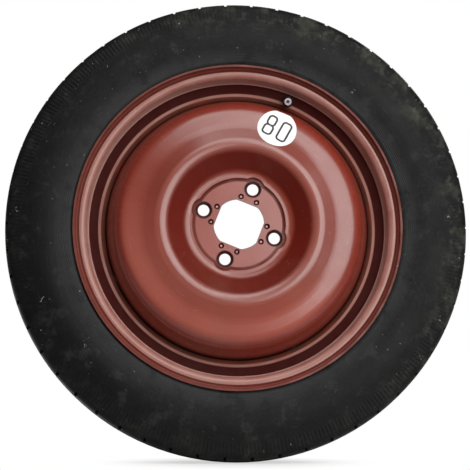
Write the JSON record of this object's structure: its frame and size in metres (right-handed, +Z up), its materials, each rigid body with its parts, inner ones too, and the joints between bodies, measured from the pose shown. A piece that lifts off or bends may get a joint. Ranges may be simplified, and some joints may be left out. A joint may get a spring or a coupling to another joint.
{
  "type": "spare wheel",
  "caption": "Narrow temporary spare wheel: black tyre on a red steel wheel with conical bolt seats, a square hub hole, a rubber valve with a screw cap and a round white sticker.",
  "frame": {"origin": "centre of the disc's mounting face, on the axle line", "axes": "+Y along the axle into the car, -Y out of the visible face, +Z up, +X to the right in the picture"},
  "size_m": [0.619, 0.1489, 0.619],
  "materials": {
    "tyre_rubber": "matte",
    "wheel_paint": "semi-gloss",
    "valve_rubber": "matte",
    "valve_metal": "satin",
    "pin_metal": "satin",
    "cap_plastic": "satin",
    "sticker_film": "satin"
  },
  "bodies": {
    "wheel": {"tyre": "tyre_rubber", "rim": "wheel_paint", "wheel_disc": "wheel_paint", "rim_disc_welds": "wheel_paint", "valve_body": "valve_rubber", "valve_stem": "valve_metal", "core_plug": "valve_metal", "core_barrel": "valve_metal", "core_gasket": "valve_rubber", "core_spring": "pin_metal", "speed_sticker": "sticker_film"},
    "pin": {"core_pin": "pin_metal", "pin_seal": "valve_rubber"},
    "seal": {"cap_seal": "valve_rubber"},
    "cap": {"valve_cap": "cap_plastic"}
  },
  "joints": [
    {"name": "valve_pin", "type": "slide", "parent": "wheel", "child": "pin", "axis": [0.1133, 0.9511, 0.2875], "range_m": [0, 0.0012], "stiffness_N_per_m": 1500, "springref_m": -0.002, "deforming": ["core_spring"]},
    {"name": "cap_lift", "type": "slide", "parent": "wheel", "child": "seal", "axis": [-0.1133, -0.9511, -0.2875], "range_m": [0, 0.00794]},
    {"name": "cap_turn", "type": "hinge", "parent": "seal", "child": "cap", "pos_m": [0.06586, -0.00279, 0.16719], "axis": [-0.1133, -0.9511, -0.2875], "range_deg": [0, 3600]}
  ],
  "couplings": [
    {"joint": "cap_turn", "follows": "cap_lift", "rad_per_m": 7915.7}
  ]
}
